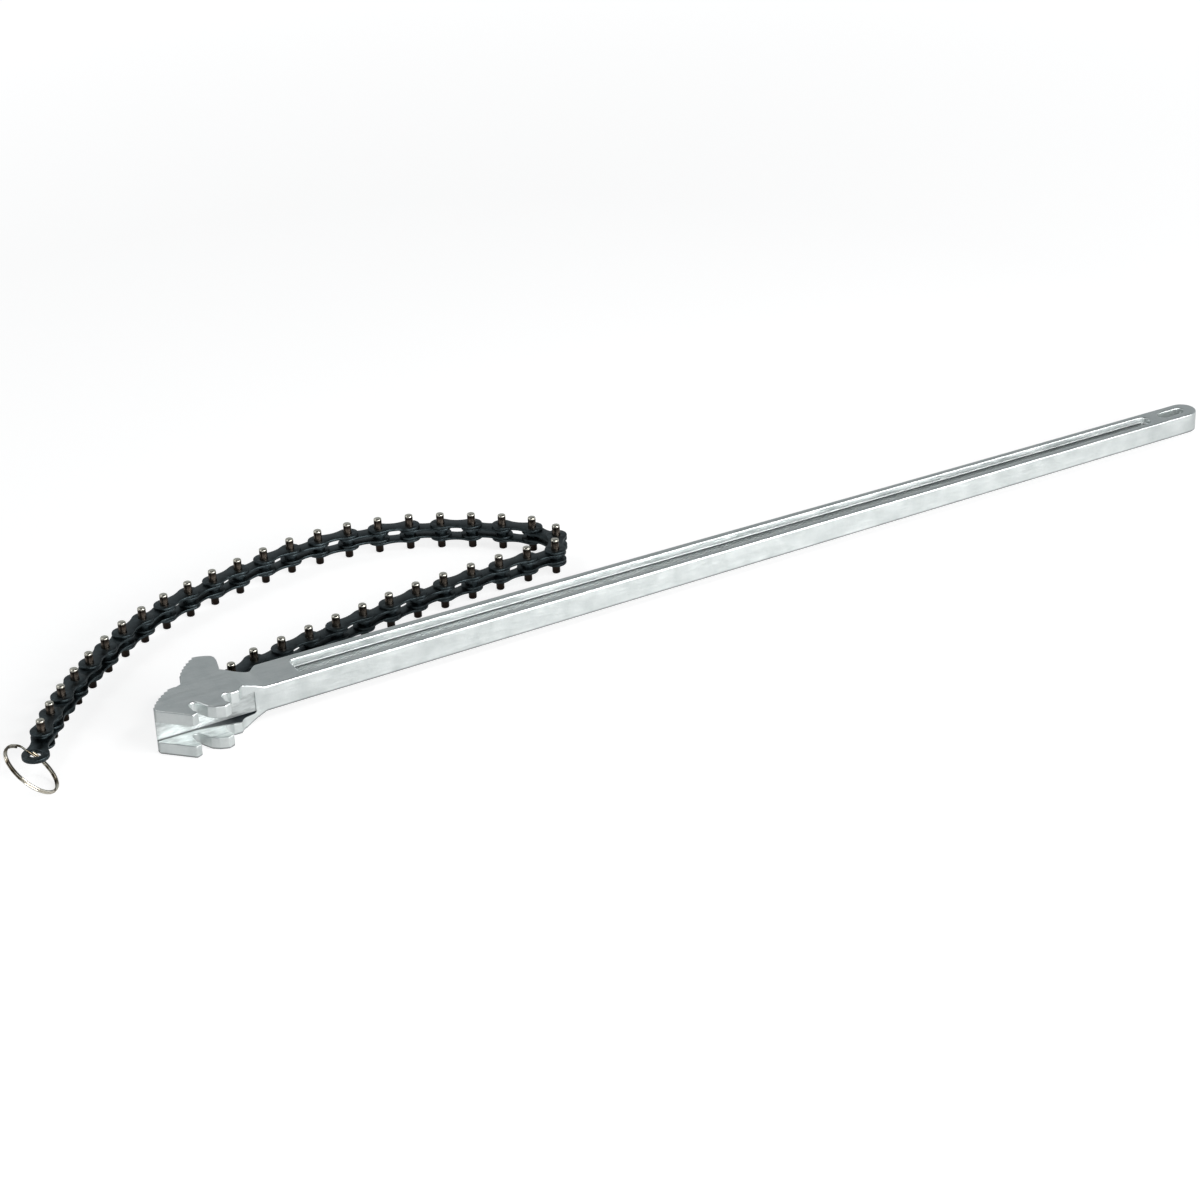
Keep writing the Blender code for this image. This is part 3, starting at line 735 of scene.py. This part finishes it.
def make_plate(low, thickness, holes, far_radius=EYE_RADIUS):
    bpy.ops.mesh.primitive_circle_add(
        vertices=EYE_POINTS, radius=EYE_RADIUS, fill_type="NGON", location=(0, 0, low),
        rotation=(0, 0, math.pi / EYE_POINTS),
    )
    plate = bpy.context.object
    bpy.ops.object.transform_apply(location=True, rotation=True, scale=True)
    bpy.ops.object.mode_set(mode="EDIT")
    select_parts(plate, "verts", lambda corner: corner.co.x > 0)
    bpy.ops.transform.resize(value=(far_radius / EYE_RADIUS,) * 3, center_override=(0, 0, low))
    bpy.ops.transform.translate(value=(PITCH, 0, 0))
    select_parts(plate, "edges", lambda edge: edge.calc_length() > LONG_SIDE)
    bpy.ops.mesh.subdivide(number_cuts=WAIST_POINTS)
    outline = bmesh.from_edit_mesh(plate.data)
    for corner in outline.verts:
        if 0 < corner.co.x < PITCH:
            corner.co.y = math.copysign(plate_half_width(corner.co.x, far_radius), corner.co.y)
    bmesh.update_edit_mesh(plate.data)
    bpy.ops.mesh.select_all(action="SELECT")
    bpy.ops.mesh.extrude_region_move(TRANSFORM_OT_translate={"value": (0, 0, thickness)})
    bpy.ops.mesh.select_all(action="SELECT")
    bpy.ops.mesh.normals_make_consistent(inside=False)
    bpy.ops.object.mode_set(mode="OBJECT")
    for x, radius in holes:
        drill(plate, x, radius)
    ease_corners(plate, STAMPED_EDGE, 2)
    plate.data.materials.append(blackened)
    return plate


print("Half of the waist:", plate_half_width(PITCH / 2, EYE_RADIUS))

# %% [markdown]
# ## Bushes and pins
# A bush is a short tube that holds two inner plates apart and turns on its pin. A pin is a rod,
# more than twice as long as the chain is thick, with both ends crowned: its end faces are bevelled
# round and then drawn out a little.

# %% Make a bush and a pin
PIN_RADIUS = 3.2 * MM
BUSH_RADIUS = 5.0 * MM
BUSH_EDGE = 0.3 * MM
PIN_POINTS = 24
FACING_END = 0.999
TIP_ROUND = 0.8 * MM
TIP_CROWN = 0.2 * MM
CROWN_INSET = PIN_RADIUS * 0.25


def make_bush(x, height):
    bpy.ops.mesh.primitive_cylinder_add(
        vertices=HOLE_POINTS, radius=BUSH_RADIUS, depth=height, location=(x, 0, 0),
    )
    bush = bpy.context.object
    drill(bush, x, HOLE_RADIUS)
    ease_corners(bush, BUSH_EDGE, 2)
    bush.data.materials.append(blackened)
    return bush


def make_pin(x, length):
    bpy.ops.mesh.primitive_cylinder_add(
        vertices=PIN_POINTS, radius=PIN_RADIUS, depth=length - 2 * TIP_CROWN, location=(x, 0, 0),
    )
    pin = bpy.context.object
    ease_corners(pin, TIP_ROUND, 4)
    bpy.ops.object.mode_set(mode="EDIT")
    select_parts(pin, "faces", lambda face: abs(face.normal.z) > FACING_END and len(face.verts) > 4)
    bpy.ops.mesh.inset(thickness=CROWN_INSET, use_individual=True)
    for side in (-1, 1):
        select_parts(
            pin, "faces",
            lambda face: face.normal.z * side > FACING_END and len(face.verts) > 4,
        )
        bpy.ops.transform.translate(value=(0, 0, side * TIP_CROWN))
    bpy.ops.object.mode_set(mode="OBJECT")
    pin.data.materials.append(bare)
    return pin


print("A pin's crown starts", CROWN_INSET, "m inside its rounded edge")

# %% [markdown]
# ## One of each link
# The chain repeats two links. An inner link is two plates on two bushes. An outer link is two
# plates outside them, with the two long pins that stand out of the chain on both sides. Each is
# made once, with its first hinge at the origin, and the copies are placed later.

# %% Make the links
INNER_FACE = 2.0 * MM
OUTER_FACE = 4.3 * MM
EYES = [(0.0, HOLE_RADIUS), (PITCH, HOLE_RADIUS)]
PIN_EYES = [(0.0, PIN_RADIUS + 0.1 * MM), (PITCH, PIN_RADIUS + 0.1 * MM)]

inner_link = finish_shape(join(
    make_plate(INNER_FACE, PLATE_THICKNESS, EYES),
    make_plate(-INNER_FACE - PLATE_THICKNESS, PLATE_THICKNESS, EYES),
    make_bush(0.0, 2 * INNER_FACE),
    make_bush(PITCH, 2 * INNER_FACE),
), "inner_link")
outer_plates = finish_shape(join(
    make_plate(OUTER_FACE, PLATE_THICKNESS, PIN_EYES),
    make_plate(-OUTER_FACE - PLATE_THICKNESS, PLATE_THICKNESS, PIN_EYES),
), "outer_plates")
long_pins = finish_shape(join(make_pin(0.0, PIN_LENGTH), make_pin(PITCH, PIN_LENGTH)), "long_pins")
print("Faces:", [len(made.data.polygons) for made in (inner_link, outer_plates, long_pins)])

# %% [markdown]
# ## The end plate and the anchor pin
# The chain ends in one thicker plate in the middle, on a long bush, with a larger eye for the ring.
# At the other end the first link turns on a plain pin that is pressed into the jaw from below.

# %% Make the end plate and the anchor pin
END_PLATE_THICKNESS = 3.0 * MM
END_EYE_RADIUS = 10.2 * MM
RING_HOLE_RADIUS = 4.7 * MM
LONG_BUSH = 8.0 * MM
ANCHOR_LENGTH = 29.4 * MM

end_plate = finish_shape(join(
    make_plate(
        -END_PLATE_THICKNESS / 2, END_PLATE_THICKNESS,
        [(0.0, HOLE_RADIUS), (PITCH, RING_HOLE_RADIUS)], END_EYE_RADIUS,
    ),
    make_bush(0.0, LONG_BUSH),
), "end_plate")
anchor = finish_shape(make_pin(0.0, ANCHOR_LENGTH), "anchor_peg")
print("Faces:", [len(made.data.polygons) for made in (end_plate, anchor)])

# %% [markdown]
# ## The pull ring
# A split ring is almost two turns of flat spring wire. One end lies under the wire and the other on
# top of it, and between them the wire steps from the lower turn to the upper one. A curve follows
# that path, and a small oval on it gives the wire its section.

# %% Make the ring
RING_RADIUS = 22.5 * MM
WIRE_WIDTH = 2.0 * MM
WIRE_HEIGHT = 1.6 * MM
STEP_DEGREES = 13
END_GAP_DEGREES = 3
DEGREES_PER_POINT = 5
RING_LEAN = math.radians(44.0)
RING_YAW = math.radians(9.0)
STEP_PLACE = 200


def ring_point(turn):
    """A point on the wire's middle, turn degrees after the step that joins the two turns."""
    share = max(0.0, min(1.0, (turn - 360 + STEP_DEGREES) / (2 * STEP_DEGREES)))
    level = (share * share * (3 - 2 * share) - 0.5) * WIRE_HEIGHT
    angle = math.radians(turn + STEP_PLACE)
    return (RING_RADIUS * math.cos(angle), RING_RADIUS * math.sin(angle), level)


bpy.ops.curve.primitive_bezier_circle_add(radius=1.0)
wire_section = bpy.context.object
wire_section.data.resolution_u = 3
wire_section.scale = (WIRE_WIDTH / 2, WIRE_HEIGHT / 2, 1.0)
bpy.ops.object.transform_apply(location=False, rotation=False, scale=True)
first_turn = STEP_DEGREES + END_GAP_DEGREES
turns = range(first_turn, 720 - first_turn + 1, DEGREES_PER_POINT)
wire_path = bpy.data.curves.new("wire_path", "CURVE")
wire_path.dimensions = "3D"
wire_path.twist_mode = "Z_UP"
wire_path.bevel_mode = "OBJECT"
wire_path.bevel_object = wire_section
wire_path.use_fill_caps = True
strand = wire_path.splines.new("POLY")
strand.points.add(len(turns) - 1)
for point, turn in zip(strand.points, turns):
    point.co = (*ring_point(turn), 1.0)
ring = bpy.data.objects.new("pull_ring", wire_path)
scene.collection.objects.link(ring)
pick(ring)
bpy.ops.object.convert(target="MESH")
ring = bpy.context.object
bpy.data.objects.remove(wire_section)
bpy.ops.object.mode_set(mode="EDIT")
bpy.ops.mesh.select_all(action="SELECT")
bpy.ops.mesh.remove_doubles(threshold=SAME_PLACE * 2)
bpy.ops.object.mode_set(mode="OBJECT")
ring.data.materials.clear()
ring.data.materials.append(nickel)
finish_shape(ring, "pull_ring", sharp=60.0)
print("The ring has", len(ring.data.polygons), "faces")

# %% [markdown]
# ## Place the chain
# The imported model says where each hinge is. A link goes from its own hinge to the next one, so two
# neighbouring hinges give its place and its heading. Every copy has its own mesh, with its place in
# the mesh, and it rides on the body that the hinge turns.

# %% Read the hinges and place the links
hinges = [Vector(joint["pos_m"]) for joint in frame["joints"]]


def hinge_matrix(number):
    """The place of link number: at its hinge, heading for the next one."""
    ahead = hinges[number + 1] - hinges[number]
    heading = math.atan2(ahead.y, ahead.x)
    return Matrix.Translation(hinges[number]) @ Matrix.Rotation(heading, 4, "Z")


def place_copy(master, name, where, body, finish, *nodes):
    """Copy the master to where the matrix says. The copy rides on a body and stands for nodes."""
    copy = master.copy()
    copy.data = master.data.copy()
    copy.name = copy.data.name = name
    scene.collection.objects.link(copy)
    copy.data.transform(where)
    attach(copy, body)
    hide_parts(*nodes)


LAST_LINK = len(hinges) - 2
for number in range(LAST_LINK):
    body = f"link_{number:02d}"
    where = hinge_matrix(number)
    link = (number + 1) // 2
    if number % 2:
        solids = (f"cover_plate_{link:02d}", f"pin_link_{link:02d}")
        place_copy(
            outer_plates, f"outer_plates_{link:02d}", where, body, "black_oxide_steel", *solids,
        )
        place_copy(long_pins, f"long_pins_{link:02d}", where, body, "bare_pin_steel", solids[1])
    else:
        solid = f"inner_link_{link:02d}"
        place_copy(inner_link, f"inner_plates_{link:02d}", where, body, "black_oxide_steel", solid)
place_copy(
    end_plate, "ring_plate", hinge_matrix(LAST_LINK), f"link_{LAST_LINK:02d}", "black_oxide_steel",
    "ring_link",
)
anchor_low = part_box("anchor_pin")[0].z
anchor_place = Matrix.Translation((hinges[0].x, hinges[0].y, anchor_low + ANCHOR_LENGTH / 2))
place_copy(anchor, "anchor_peg_pressed", anchor_place, "tool", "bare_pin_steel", "anchor_pin")
print("Placed", LAST_LINK + 1, "links")

# %% [markdown]
# The ring hangs in the last eye and leans down to the table. It is turned on its lean, slid so that
# its wire passes through the eye's middle while its low side rests on the table, and then put at
# its hinge.

# %% Place the ring
lean_reach = math.hypot(WIRE_WIDTH / 2 * math.sin(RING_LEAN), WIRE_HEIGHT * math.cos(RING_LEAN))
slide = RING_RADIUS - (hinges[-1].z - lean_reach) / math.sin(RING_LEAN)
ring_centre = Matrix.Translation((
    math.sqrt(RING_RADIUS**2 - slide**2), -slide * math.cos(RING_LEAN), slide * math.sin(RING_LEAN),
))
last_ahead = hinges[-1] - hinges[-2]
ring_heading = math.atan2(last_ahead.y, last_ahead.x) + RING_YAW
ring_place = Matrix.Translation(hinges[-1]) @ Matrix.Rotation(ring_heading, 4, "Z")
ring_place = ring_place @ ring_centre @ Matrix.Rotation(-RING_LEAN, 4, "X")
place_copy(ring, "split_pull_ring", ring_place, "ring", "nickel_wire", "end_ring")
for master in (inner_link, outer_plates, long_pins, end_plate, anchor, ring):
    bpy.data.objects.remove(master)

# %% [markdown]
# ## The table
# The photograph has a plain white ground with a faint soft shadow. The floor is a large sheet. To
# the camera part of its white is its own, so the ground comes out white without more light on the
# tool, and the rest is lit, so it keeps the tool's shadow. Its own share grows away from the tool,
# where less light falls. In the metal it shows with very little white of its own, and to all other
# light it is a plain pale sheet.

# %% Make the floor
FLOOR_SIZE = 12.0
FLOOR_DROP = 0.2 * MM
WHITER_FROM, WHITER_TO = 0.8, 2.2
NEAR_WHITE, FAR_WHITE, MIRRORED_WHITE = 0.78, 0.94, 0.08

bpy.ops.object.select_all(action="DESELECT")
bpy.ops.mesh.primitive_plane_add(size=FLOOR_SIZE, location=(0.3, 0.2, -FLOOR_DROP))
floor = bpy.context.object
floor.name = "floor"
floor_finish, tree = new_material("white_ground")
path = add_node(tree, "ShaderNodeLightPath")
seen = add_node(tree, "ShaderNodeMath", {
    0: path.outputs["Is Camera Ray"], 1: path.outputs["Is Transmission Ray"],
}, operation="MAXIMUM")


def part_lit(tree, colour, own_share):
    """A white that is partly lit by the lamps and partly its own."""
    lit = add_node(tree, "ShaderNodeBsdfDiffuse", {"Color": linear(colour)})
    own = add_node(tree, "ShaderNodeEmission", {"Color": linear("#FFFFFF"), "Strength": own_share})
    return add_node(tree, "ShaderNodeAddShader", {0: lit, 1: own})


plain = add_node(tree, "ShaderNodeBsdfDiffuse", {"Color": linear("#E0E0E0")})
unseen = add_node(tree, "ShaderNodeMixShader", {
    "Fac": path.outputs["Is Glossy Ray"], 1: plain, 2: part_lit(tree, "#DCDCDC", MIRRORED_WHITE),
})
from_middle = add_node(tree, "ShaderNodeVectorMath", {
    0: add_node(tree, "ShaderNodeTexCoord").outputs["Object"],
}, operation="LENGTH").outputs["Value"]
own_white = add_node(tree, "ShaderNodeMapRange", {
    "Value": from_middle, "From Min": WHITER_FROM, "From Max": WHITER_TO,
    "To Min": NEAR_WHITE, "To Max": FAR_WHITE,
})
ground = add_node(tree, "ShaderNodeMixShader", {
    "Fac": seen, 1: unseen, 2: part_lit(tree, "#A4A4A4", own_white),
})
add_node(tree, "ShaderNodeOutputMaterial", {"Surface": ground})
floor.data.materials.append(floor_finish)
print("Made", floor.name)

# %% [markdown]
# A dark ceiling hangs over the table. Bright metal looks like metal only when it has something dark
# to mirror, and the rounded rims mirror what is above them. The camera looks through the ceiling.

# %% Make the ceiling
CEILING_SIZE = 4.6
CEILING_HEIGHT = 2.3

bpy.ops.mesh.primitive_plane_add(size=CEILING_SIZE, location=(0.4, 0.0, CEILING_HEIGHT))
ceiling = bpy.context.object
ceiling.name = "ceiling"
ceiling_finish, tree = new_material("dark_ceiling")
dark = add_node(tree, "ShaderNodeBsdfDiffuse", {"Color": linear("#2E3234")})
clear = add_node(tree, "ShaderNodeBsdfTransparent")
path = add_node(tree, "ShaderNodeLightPath")
hidden = add_node(tree, "ShaderNodeMixShader", {
    "Fac": path.outputs["Is Camera Ray"], 1: dark, 2: clear,
})
add_node(tree, "ShaderNodeOutputMaterial", {"Surface": hidden})
ceiling.data.materials.append(ceiling_finish)
print("Made", ceiling.name)

# %% [markdown]
# ## Light
# A plain grey room gives the upper faces their even grey, and the camera sees it as white. A large,
# low softbox in front of the handle gives the bright front faces and lights the groove's far wall.
# A small lamp lifts the jaw's front, another one the handle's middle, and a weak softbox behind
# draws the far edges.

# %% Set the room and the lamps
scene.view_settings.view_transform = "Standard"
scene.world = bpy.data.worlds.new("studio")
scene.world.use_nodes = True
tree = scene.world.node_tree
tree.nodes.clear()
path = add_node(tree, "ShaderNodeLightPath")
room = add_node(tree, "ShaderNodeBackground", {"Color": linear("#AAAEB0"), "Strength": 1.0})
white = add_node(tree, "ShaderNodeBackground", {"Color": linear("#FFFFFF"), "Strength": 1.0})
backdrop = add_node(tree, "ShaderNodeMixShader", {
    "Fac": path.outputs["Is Camera Ray"], 1: room, 2: white,
})
add_node(tree, "ShaderNodeOutputWorld", {"Surface": backdrop})


def add_lamp(name, place, target, size, watts):
    bpy.ops.object.light_add(type="AREA", location=place)
    lamp = bpy.context.object
    lamp.name = name
    lamp.rotation_euler = (Vector(target) - Vector(place)).to_track_quat("-Z", "Y").to_euler()
    lamp.data.shape = "RECTANGLE"
    lamp.data.size, lamp.data.size_y = size
    lamp.data.energy = watts


add_lamp("back_softbox", (-0.6, 1.0, 1.7), (0.3, 0.0, 0.0), (1.0, 0.8), 7.0)
add_lamp("jaw_light", (-0.1, -0.9, 0.25), (0.0, 0.0, 0.01), (0.35, 0.2), 1.6)
add_lamp("front_softbox", (1.05, -1.5, 0.55), (0.55, 0.0, 0.0), (1.5, 0.9), 33.0)
add_lamp("pool_light", (0.52, -0.4, 0.7), (0.5, -0.1, 0.0), (0.3, 0.15), 2.2)
